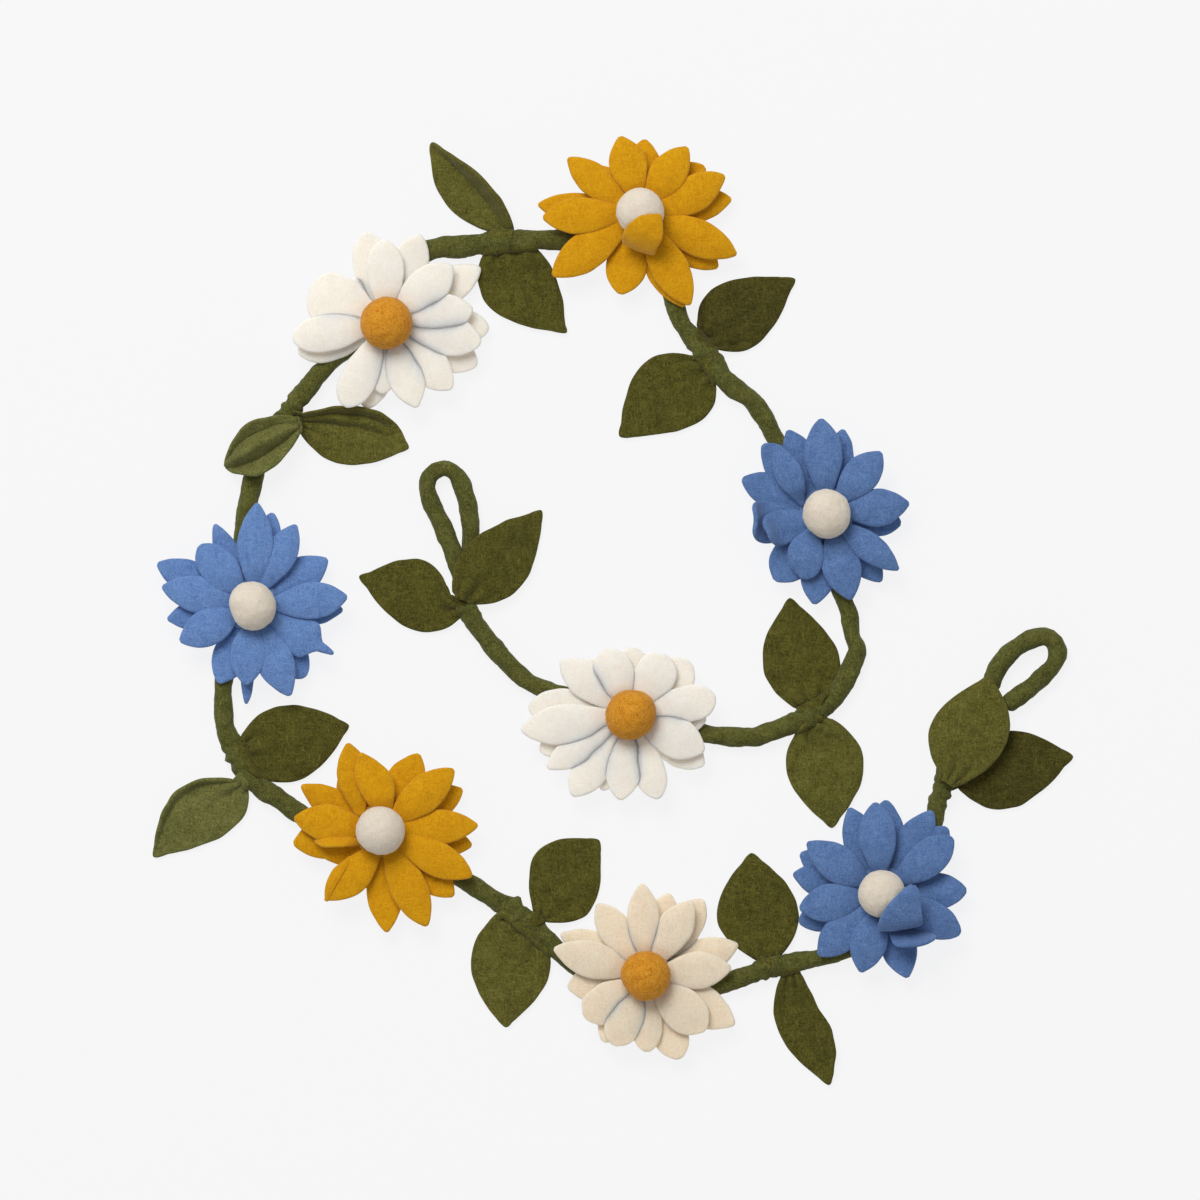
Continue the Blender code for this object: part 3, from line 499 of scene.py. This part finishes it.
def petal_part(flower, petal, is_front, seed):
    """One petal as a felt sheet; returns its part and its flat area."""
    rng = np.random.default_rng(seed)
    shares = 1 - (1 - np.linspace(0, 1, PETAL_ROWS)) ** 1.3
    shares[-1] = 0.9985
    half = PETAL_HALF * petal.wide * GRID
    widest_at = rng.uniform(0.54, 0.60)
    blunt = petal.blunt + rng.uniform(-0.1, 0.15)
    widths = half * petal_widths(shares, widest_at, blunt, petal.nib, ROOT_WIDTHS[flower.felt])
    widths = np.maximum(widths, 0.0001)
    v, distance, rounds = sheet_columns(widths, PETAL_SOFT, PETAL_COLUMNS)
    columns = v.shape[1]
    t = np.repeat(shares[:, None], columns, axis=1)
    s = v * widths[:, None]
    tip_turn = math.radians(petal.angle)
    root_turn = math.radians(petal.angle if petal.root is None else petal.root)
    root_spot = petal.start * GRID * np.array((math.cos(root_turn), math.sin(root_turn)))
    tip_spot = petal.reach * GRID * np.array((math.cos(tip_turn), math.sin(tip_turn)))
    length = np.linalg.norm(tip_spot - root_spot)
    out = (tip_spot - root_spot) / length
    side = np.array((-out[1], out[0]))
    bend = (petal.bend + rng.uniform(-1.5, 1.5)) * GRID * (t ** 2 - t * 0.3)
    ease = np.clip((t - 0.04) / 0.3, 0, 1)
    ease = ease * ease * (3 - 2 * ease)
    lift = petal.lift * LIFT_STEP
    crown = -PETAL_CROWN * v ** 2 * np.sin(math.pi * np.clip(t, 0.12, 0.92))
    ripple = PETAL_RIPPLE * wobble(np.stack((t * length, s, t * 0), axis=2), 110, seed % 97 + 0.5) * ease
    tilt = math.radians(petal.roll + rng.uniform(-2.5, 2.5)) * np.clip((t - 0.1) * 4, 0, 1)
    across = s * np.cos(tilt) + bend
    plan = place(flower.x, flower.y) + root_spot + out * (length * t)[..., None] + side * across[..., None]
    if is_front:
        height = FRONT_HEIGHT + lift * ease + FRONT_RISE[flower.felt] * np.sin(math.pi * t ** 1.1)
    else:
        over = vine_distance(plan[:, columns // 2, :]).min() < VINE_CLEARANCE
        height = BACK_HEIGHT - (0.0 if over else BACK_DROOP) * t ** 2 + lift * 0.55 * ease
    height = height + crown + ripple + s * np.sin(tilt)
    height += np.abs(np.sin(tilt)) * widths[:, None] * (0.9 if abs(petal.roll) > STEEP_ROLL else 0.3)
    points = np.concatenate((plan, height[..., None]), axis=2)
    points[..., :2] += (side * (0.0004 * wobble(points, 160, seed % 89))[..., None])
    area = float(np.trapz(2 * widths, shares * length))
    return felt_sheet(points, distance, rounds, widths, PETAL_FELT, PETAL_SOFT), area


# A folded or curled petal follows cross rows: the middle of the row (grid steps from the
# flower's middle), its height in millimetres, the direction of the row and the rise of its
# far side in degrees, and its half width in grid steps.
Row = namedtuple("Row", "x y height turn tilt half")
FOLDED = {
    "yellow_flower_1_front": (
        # folded up and over the lower right of the ball
        (Row(4, -20, 14.4, 0, 0, 7), Row(2, -29, 15.6, -8, 0, 12.5), Row(-1, -35, 19.5, -18, 0, 16),
         Row(-2, -37, 24.5, -22, 0, 17.5), Row(-1, -31.5, 31, -23, 0, 18.5),
         Row(4, -22.5, 36.0, -25, 0, 18.5),
         Row(11, -13.5, 37.7, -35, -6, 14.5), Row(16.5, -8.5, 37.0, -43, -8, 8.5),
         Row(20.5, -4, 36, -50, -8, 1)),),
    "blue_flower_3_front": (
        # folded over the lower right of the ball
        (Row(12, -14, 14.4, -20, 0, 8), Row(15, -24, 15.5, -8, 0, 15), Row(17.5, -31.5, 19.5, 3, 0, 20),
         Row(18.5, -34, 25, 8, 0, 22.5), Row(18.5, -29.5, 30.8, 7, -4, 22.5),
         Row(20.5, -18, 34.4, -2, -11, 19.5),
         Row(26, -4, 35.2, -8, -18, 13), Row(29, 4, 34.0, -8, -18, 8.5), Row(30.5, 8.5, 33.0, -8, -18, 3)),),
    "blue_flower_3_back": (
        # turned up beyond the folded one
        (Row(16, -22, 12.2, -30, 0, 8), Row(23, -34, 13.5, -16, 0, 17), Row(29, -41, 17.5, -4, 0, 22),
         Row(32, -46, 22.5, 4, 0, 22.5), Row(33, -49, 26.5, 8, 0, 20.5), Row(33, -51, 29, 8, 0, 15)),),
    "blue_flower_1_front": (
        # cupped, its rounded end upright
        (Row(-18, -5, 14.4, 103, 0, 8), Row(-31, -9, 15.4, 108, 0, 14), Row(-43, -13, 17, 112, 0, 17.5),
         Row(-52, -16, 20.5, 114, 0, 17), Row(-56.5, -18, 24.5, 116, 0, 13), Row(-58, -19, 27, 116, 0, 6)),),
    "blue_flower_1_back": (
        # cupped behind it
        (Row(-20, -6, 12.3, 100, 0, 8), Row(-40, -8, 12.8, 98, 0, 17), Row(-57, -8, 15, 96, 0, 21.5),
         Row(-67, -8, 19.5, 94, 0, 20.5), Row(-70.5, -7, 24, 92, 0, 16), Row(-70.5, -6, 26.5, 90, 0, 9)),),
    "yellow_flower_2_front": (
        # the turned-up rim of the lower left petal
        (Row(-30, -27, 16.6, -40, 0, 1.6), Row(-38, -39, 18.6, -35, 0, 2.4), Row(-46, -52, 18.2, -30, 0, 2.6),
         Row(-51, -62, 17.2, -28, 0, 2.2), Row(-54.5, -70, 15.8, -28, 0, 1.2)),)}
FOLD_ROWS = 40


def smooth_rows(rows, count):
    """Even steps on a smooth curve through a folded petal's cross rows."""
    table = np.array(rows, dtype=float)
    last = len(table) - 1
    steps = []
    for k in range(count):
        at = min(k / (count - 1) * last, last - 1e-9)
        steps.append(on_curve(table, int(at), at - int(at)))
    return np.array(steps)


def folded_part(flower, rows, seed):
    """A folded petal as a felt sheet through its cross rows."""
    steps = smooth_rows(rows, FOLD_ROWS)
    widths = np.maximum(steps[:, 5] * GRID, 0.0004)
    v, distance, rounds = sheet_columns(widths, PETAL_SOFT, PETAL_COLUMNS)
    turn, tilt = np.radians(steps[:, 3]), np.radians(steps[:, 4])
    far = np.stack((np.cos(turn) * np.cos(tilt), np.sin(turn) * np.cos(tilt), np.sin(tilt)), axis=1)
    middle = np.column_stack((steps[:, :2] * GRID + place(flower.x, flower.y), steps[:, 2] / 1000))
    points = middle[:, None, :] + far[:, None, :] * (v * widths[:, None])[..., None]
    normals = unit(np.cross(np.gradient(middle, axis=0), far))
    cup = 0.0010 * v ** 2 + 0.0004 * wobble(points, 130, seed)
    points = points + normals[:, None, :] * cup[..., None]
    run = np.linalg.norm(np.diff(middle, axis=0), axis=1)
    area = float(np.sum((widths[1:] + widths[:-1]) * run))
    return felt_sheet(points, distance, rounds, widths, PETAL_FELT, PETAL_SOFT), area


def hub_part(flower, height):
    """The joined middle of a petal layer, hidden by the ball but for its rim."""
    rings = ((0.5, 0.0011), (0.85, 0.0009), (1.0, 0.0), (0.85, -0.0009), (0.5, -0.0011))
    turns = np.arange(36) * 2 * math.pi / 36
    middle = place(flower.x, flower.y)
    verts = []
    for ring, up in rings:
        r = HUB_RADIUS * GRID * ring
        verts += [(middle[0] + r * math.cos(turn), middle[1] + r * math.sin(turn), height + up)
                  for turn in turns]
    count = len(turns)
    top = len(verts)
    verts += [(*middle, height + 0.0011), (*middle, height - 0.0011)]
    faces = []
    for i in range(count):
        j = (i + 1) % count
        faces.append((top, i, j))
        for k in range(len(rings) - 1):
            low = k * count
            faces.append((low + j, low + i, low + count + i, low + count + j))
        low = (len(rings) - 1) * count
        faces.append((top + 1, low + j, low + i))
    return np.array(verts), faces


def make_layer(flower, is_front, number):
    """One layer of petals with its joined middle, as one cut of felt."""
    petals = flower.front if is_front else flower.back
    parts, area = [hub_part(flower, (FRONT_HEIGHT if is_front else BACK_HEIGHT) - 0.0002)], 0.0
    for k, petal in enumerate(petals):
        part, flat = petal_part(flower, petal, is_front, 1000 * number + 10 * k + is_front)
        parts.append(part)
        area += flat
    which = "front" if is_front else "back"
    for k, rows in enumerate(FOLDED.get(f"{flower.name}_{which}", ())):
        part, flat = folded_part(flower, rows, number + k * 0.7)
        parts.append(part)
        area += flat
    layer = add_piece(f"{flower.name}_{which}_petals", parts, FELTS[flower.felt])
    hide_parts(f"{flower.name}_{which}")


DENT_SPREAD = 34          # degrees round the ball over which a dent fades


def make_ball(flower):
    """A felted ball, a little uneven, seated on the petals."""
    bpy.ops.mesh.primitive_ico_sphere_add(subdivisions=6, radius=1.0)
    ball = bpy.context.active_object
    ball.name = ball.data.name = f"{flower.name}_felt_ball"
    spots = unit(np.array([v.co[:] for v in ball.data.vertices]))
    radius, long, turn = flower.ball_size
    axis = np.array((math.cos(math.radians(turn)), math.sin(math.radians(turn)), 0.0))
    size = (1 + 0.020 * wobble(spots, 1.6, flower.x) + 0.020 * wobble(spots, 4, flower.y)
            + 0.006 * wobble(spots, 14) + 0.005 * wobble(spots, 40))
    around = np.degrees(np.arctan2(spots[:, 1], spots[:, 0]))
    for direction, depth in DENTS[flower.name]:
        away = (around - direction + 180) % 360 - 180
        size += depth * np.exp(-(away / DENT_SPREAD) ** 2) * np.hypot(spots[:, 0], spots[:, 1])
    spots = spots + axis * (spots @ axis)[:, None] * (long - 1)
    middle = np.array((*place(flower.x, flower.y), BALL_HEIGHT))
    spots = middle + spots * (radius * GRID * size)[:, None]
    spots[:, 2] = np.maximum(spots[:, 2], FRONT_HEIGHT + 0.0008)
    for vert, spot in zip(ball.data.vertices, spots):
        vert.co = spot
    ball.data.shade_smooth()
    ball.data.materials.append(FELTS[flower.ball])
    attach(ball, "root")
    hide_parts(f"{flower.name}_ball")


for number, one_flower in enumerate(FLOWERS):
    make_layer(one_flower, True, number)
    make_layer(one_flower, False, number)
    make_ball(one_flower)


# Leaves
# A leaf: the ends of its base edge, the middles of its two sides, its tip; the heights of
# its underside in millimetres (base, middle, tip), the spot on the vine that its base is
# worked into, the neck's half width there in grid steps, its tone, and its cross profile:
# shares of the width from side a (-1) to side b (1) with heights in millimetres, and the
# shares of the length between which the profile holds; the share over which the tip is
# rounded; and how far side b is drawn in near the base, in grid steps.
Leaf = namedtuple("Leaf", "name base_a side_a tip side_b base_b lifts join neck tone profile span round dip",
                  defaults=((), None, 6.0, "leaf", ((-1, 0), (0, 0.6), (1, 0)), (0.0, 1.0), 0.07, 0.0))
LEAVES = [
    Leaf("leaf_01", (490, 231), (443, 201), (431, 143), (488, 184), (514, 230), join=(502, 241), neck=11,
         tone="leaf_light", profile=((-1, 0), (-0.2, 0), (0.3, 0.2), (0.5, 0.6), (1, 14.0)), round=0.10),
    Leaf("leaf_02", (480, 259), (493, 310), (566, 333), (559, 285), (541, 252), join=(509, 246), neck=25,
         profile=((-1, 0.5), (0, 0.8), (1, 0.3))),
    Leaf("leaf_03", (697, 325), (721, 284), (795, 279), (762, 340), (718, 350), join=(702, 350), neck=9,
         tone="leaf_dark"),
    Leaf("leaf_04", (690, 356), (640, 367), (620, 437), (695, 424), (716, 386), join=(708, 360), neck=10),
    Leaf("leaf_05", (793, 707), (762, 660), (790, 598), (838, 652), (826, 697), join=(811, 712), neck=8),
    Leaf("leaf_06", (794, 736), (789, 780), (832, 828), (864, 765), (832, 719), join=(812, 716), neck=9,
         tone="leaf_light"),
    Leaf("leaf_07", (297, 417), (247, 425), (226, 466), (264, 474), (301, 433), (10.2, 10.3, 5), (300, 421),
         6.0,
         "leaf_pale", ((-1, 6.2), (-0.55, 0), (-0.12, 6.2), (0.38, -2.2), (1, 6.4)), (0.0, 1.0), 0.42),
    Leaf("leaf_08", (304, 414), (374, 410), (409, 448), (345, 465), (301, 433), join=(293, 418), neck=7,
         tone="leaf_light", profile=((-1, 10.0), (-0.72, 0.8), (-0.54, 4.6), (-0.3, -0.6), (0, 0.3), (1, 0)),
         span=(-0.1, 0.78)),
    Leaf("leaf_09", (242, 733), (287, 705), (349, 725), (308, 776), (256, 777), join=(237, 757), neck=8),
    Leaf("leaf_10", (233, 780), (176, 792), (154, 857), (229, 832), (248, 790), join=(246, 774), neck=7,
         tone="leaf_pale", profile=((-1, 7.0), (-0.8, 0.4), (-0.5, 0.4), (1, 0))),
    Leaf("leaf_11", (534, 912), (538, 851), (599, 840), (592, 908), (545, 921), join=(530, 925), neck=6),
    Leaf("leaf_12", (498, 912), (471, 966), (505, 1027), (541, 993), (550, 957), join=(526, 926), neck=28,
         tone="leaf_light"),
    Leaf("leaf_13", (757, 960), (717, 915), (751, 853), (797, 903), (782, 954), join=(771, 965), neck=10),
    Leaf("leaf_14", (781, 978), (779, 1033), (829, 1085), (833, 1033), (800, 973), join=(791, 965), neck=8,
         profile=((-1, 0), (0.1, 0.2), (0.7, 2.6), (1, 5.0)), dip=5),
    Leaf("leaf_15", (448, 594), (420, 559.5), (359, 577), (410, 629), (460, 619), join=(466, 604), neck=7),
    Leaf("leaf_16", (452, 591), (473, 540), (542, 511), (525, 581), (480, 604), (5, 2, 0), (465, 601), 10,
         "leaf", ((-1, 7.6), (-0.4, 6.2), (0.3, 2.4), (1, 0)), (-0.4, 1.0)),
    Leaf("leaf_17", (938, 770), (933, 719), (989, 676), (1008, 737), (961, 785), (10.2, 10.4, 10.6),
         (946, 783), 9,
         "leaf_light", ((-1, -2.5), (-0.4, 0.4), (0, 0.6), (1, 0))),
    Leaf("leaf_18", (960, 772), (1003, 731), (1073, 756), (1012, 808), (958, 787), join=(947, 785), neck=7,
         tone="leaf_dark")]
# creases pressed into the leaves: from and to, and how deep (raised when positive)
Crease = namedtuple("Crease", "leaf x1 y1 x2 y2 depth")
CREASES = [
    Crease("leaf_03", 702, 334, 732, 345, -1.6), Crease("leaf_03", 732, 345, 756, 341, -1.0),
    Crease("leaf_03", 704, 345, 722, 349, 0.8), Crease("leaf_04", 706, 372, 692, 388, -0.9),
    Crease("leaf_06", 818, 726, 848, 736, 1.1), Crease("leaf_06", 806, 734, 812, 756, -0.9),
    Crease("leaf_09", 246, 764, 274, 783, 1.2), Crease("leaf_09", 244, 752, 268, 758, -1.0),
    Crease("leaf_09", 248, 742, 262, 730, -0.7), Crease("leaf_11", 541, 914, 538, 893, -1.0),
    Crease("leaf_12", 530, 950, 540, 966, -1.4), Crease("leaf_15", 447, 612, 438, 580, -1.6),
    Crease("leaf_15", 452, 614, 424, 606, -0.7), Crease("leaf_16", 474, 592, 494, 572, -0.8),
    Crease("leaf_17", 957, 786, 956, 748, -2.2), Crease("leaf_17", 965, 782, 972, 760, -0.7),
    Crease("leaf_18", 975, 780, 1000, 776, -0.7), Crease("leaf_10", 240, 792, 216, 800, -0.9),
    Crease("leaf_13", 770, 950, 764, 926, -0.8), Crease("leaf_05", 804, 694, 806, 668, -0.9)]
CREASE_WIDTH = 0.0021
CREASE_DEPTH = 0.0013     # metres for a depth of one
LEAF_SOFT = 0.0013
LEAF_ROWS = 66
NECK_ROWS = 9
LEAF_COLUMNS = 34
GATHER_HEIGHT = 0.0012    # of the gathers at a leaf's base
LEAF_CROWN = 0.0010       # how far a leaf's middle stands above its edges
LEAF_RIPPLE = 0.0006
NECK_SHARE = 0.12         # length of the neck as a share of the leaf's
CLIMB_SHARE = 0.10        # share of the leaf's length that rests on the rope's side


def edge_curve(base, middle, tip, shares):
    """Points of a curved leaf edge from its base through its middle to the tip."""
    pull = middle * 2 - (base + tip) / 2
    t = shares[:, None]
    return base * (1 - t) ** 2 + pull * 2 * t * (1 - t) + tip * t ** 2


def leaf_lift(leaf, t):
    """Height of the leaf's underside along its midrib, in metres."""
    if leaf.lifts:
        base, middle, tip = (lift / 1000 for lift in leaf.lifts)
    else:
        base, middle, tip = LEAF_BASE_HEIGHT - LEAF_FELT / 2, 0.0, 0.0
    turn = 0.5 if leaf.lifts else 0.3
    a, b = np.clip(t / turn, 0, 1), np.clip((t - turn) / (1 - turn), 0, 1)
    return (base + (middle - base) * a * a * (3 - 2 * a)) + (tip - middle) * b * b * (3 - 2 * b)


def leaf_profile(leaf, v, t):
    """Height added across the leaf by its folds."""
    places, heights = np.array(leaf.profile).T
    fine = np.linspace(-1, 1, 81)
    soft = np.interp(fine, places, heights)
    kernel = np.exp(-np.linspace(-2, 2, 9) ** 2)
    soft = np.convolve(np.pad(soft, 4, mode="edge"), kernel / kernel.sum(), mode="valid")
    low, high = leaf.span
    share = np.clip((t - low) / (high - low), 0, 1)
    hold = np.clip(np.sin(math.pi * share), 0, 1) ** 0.6
    if low < 0:
        hold = np.clip((high - t) / 0.3, 0, 1) ** 0.8
    return np.interp(v, fine, soft) / 1000 * hold


def crease_height(leaf, plan):
    """Height added by the leaf's creases."""
    total = np.zeros(plan.shape[:-1])
    for crease in CREASES:
        if crease.leaf != leaf.name:
            continue
        start, end = place(crease.x1, crease.y1), place(crease.x2, crease.y2)
        line = end - start
        share = ((plan - start) @ line) / (line @ line)
        gap = np.linalg.norm(plan - start - np.clip(share, 0, 1)[..., None] * line, axis=-1)
        fade = np.clip(1.1 - share, 0.2, 1)
        total += crease.depth * CREASE_DEPTH * fade * np.exp(-(gap / CREASE_WIDTH) ** 2)
    return total


def leaf_rows(leaf):
    """The middle and half reach of each cross row from the neck to the tip, and its place."""
    base_a, side_a, tip, side_b, base_b = (place(*spot) for spot in leaf[1:6])
    shares = np.linspace(0, 1, LEAF_ROWS) ** 0.95
    shares[1:] = 1 - (1 - shares[1:]) ** 1.15
    shares[-1] = 0.9995
    edge_a = edge_curve(base_a, side_a, tip, shares)
    edge_b = edge_curve(base_b, side_b, tip, shares)
    drawn_in = leaf.dip * GRID * np.sin(2 * math.pi * np.minimum(shares, 0.5)) ** 2
    edge_b = edge_b + unit(edge_a - edge_b) * drawn_in[:, None]
    middle, reach = (edge_a + edge_b) / 2, (edge_b - edge_a) / 2
    # the tip is rounded by drawing its last part together
    end = np.clip((shares - 1 + leaf.round) / leaf.round, 0, 1)
    widest = np.interp(1 - leaf.round, shares, np.linalg.norm(reach, axis=1))
    blunt = widest * (1 - end) ** 0.6
    lengths = np.maximum(np.linalg.norm(reach, axis=1), 1e-6)
    reach = np.where(end[:, None] > 0, reach * (np.maximum(blunt, 0.0001) / lengths)[:, None], reach)
    # the neck runs from the base edge to its join on the vine
    neck = np.linspace(1, 1 / NECK_ROWS, NECK_ROWS)[:, None]
    join = place(*leaf.join)
    neck_reach = reach[0] * (leaf.neck * GRID / np.linalg.norm(reach[0]))
    ease = neck ** 0.8
    middle = np.concatenate((middle[0] * (1 - neck) + join * neck, middle))
    reach = np.concatenate((reach[0] * (1 - ease) + neck_reach * ease, reach))
    shares = np.concatenate((-NECK_SHARE * neck[:, 0], shares))
    return middle, reach, shares


def make_leaf(leaf, number):
    """One leaf as a felt sheet, gathered and folded, its base worked into the rope."""
    middle, reach, shares = leaf_rows(leaf)
    widths = np.maximum(np.linalg.norm(reach, axis=1), 0.0001)
    v, distance, rounds = sheet_columns(widths, LEAF_SOFT, LEAF_COLUMNS)
    t = np.repeat(shares[:, None], v.shape[1], axis=1)
    plan = middle[:, None, :] + reach[:, None, :] * v[..., None]
    inner = np.clip(t, 0, 1)
    height = leaf_lift(leaf, inner) + leaf_profile(leaf, v, inner) + LEAF_FELT / 2
    # gathers at the base, fading along the leaf
    height += GATHER_HEIGHT * np.cos(v * math.pi * 3.1 + number) * np.exp(-inner * 5) * (1 - np.abs(v) ** 4)
    height += LEAF_CROWN * (1 - v ** 2) * np.sin(math.pi * inner)
    height += crease_height(leaf, plan)
    points = np.concatenate((plan, height[..., None]), axis=2)
    points[..., 2] += LEAF_RIPPLE * (wobble(points, 70, number * 3.1) + 0.8) * np.clip(t * 3, 0, 1)
    points[..., :2] += (unit(reach)[:, None, :] * (LEAF_RIPPLE * wobble(points, 120, number))[..., None])
    # near its base the leaf climbs the side of the vine
    side = np.clip(-vine_distance(points[..., :2]) / (VINE_HALF * GRID), 0, 1)
    sink = np.clip(-t / NECK_SHARE, 0, 1)
    surface = VINE_HEIGHT / 2 * (1 + np.sqrt(1 - (1 - side) ** 2)) + 0.0004 - 0.0026 * sink
    climb = np.clip((CLIMB_SHARE - t) / 0.08, 0, 1) * (side > 0)
    climbed = np.maximum(points[..., 2], surface * climb + points[..., 2] * (1 - climb))
    points[..., 2] = np.where(climb > 0, climbed, points[..., 2])
    part = felt_sheet(points, distance, rounds, widths, LEAF_FELT, LEAF_SOFT)
    part[0][:, 2] = np.maximum(part[0][:, 2], 0.0)
    piece = add_piece(leaf.name + "_felt", [part], FELTS[leaf.tone])
    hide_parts(leaf.name)


for number, one_leaf in enumerate(LEAVES):
    make_leaf(one_leaf, number)


# Floor and light
FLOOR_GLOW = 0.85
SKY_STRENGTH = 0.42
KEY_SPOT = (-0.9, 1.9, 3.05)
KEY_SIZE = 1.9
KEY_WATTS = 98.0
bpy.ops.mesh.primitive_plane_add(size=6.0, location=(0, 0, -0.0001))
floor = bpy.context.active_object
floor.name = "floor"
paper = bpy.data.materials.new("pale_paper")
paper.use_nodes = True
paper_shader = paper.node_tree.nodes["Principled BSDF"]
paper_shader.inputs["Base Color"].default_value = (0.08, 0.08, 0.08, 1.0)
paper_shader.inputs["Roughness"].default_value = 0.9
paper_shader.inputs["Specular IOR Level"].default_value = 0.1
paper_shader.inputs["Emission Color"].default_value = (1.0, 1.0, 1.01, 1.0)
paper_shader.inputs["Emission Strength"].default_value = FLOOR_GLOW
floor.data.materials.append(paper)

world = bpy.data.worlds.new("studio")
world.use_nodes = True
world.node_tree.nodes["Background"].inputs["Color"].default_value = (0.98, 0.99, 1.0, 1.0)
world.node_tree.nodes["Background"].inputs["Strength"].default_value = SKY_STRENGTH
bpy.context.scene.world = world


def soft_light(name, spot, size, watts, colour=(1.0, 0.99, 0.97)):
    """A square light turned towards the middle of the garland."""
    light = bpy.data.lights.new(name, "AREA")
    light.size = size
    light.energy = watts
    light.color = colour
    lamp = bpy.data.objects.new(name, light)
    lamp.location = spot
    lamp.rotation_euler = (-Vector(spot)).to_track_quat("-Z", "Y").to_euler()
    lamp.visible_camera = False
    bpy.context.scene.collection.objects.link(lamp)


soft_light("key", KEY_SPOT, KEY_SIZE, KEY_WATTS)
bpy.context.scene.view_settings.view_transform = "Standard"
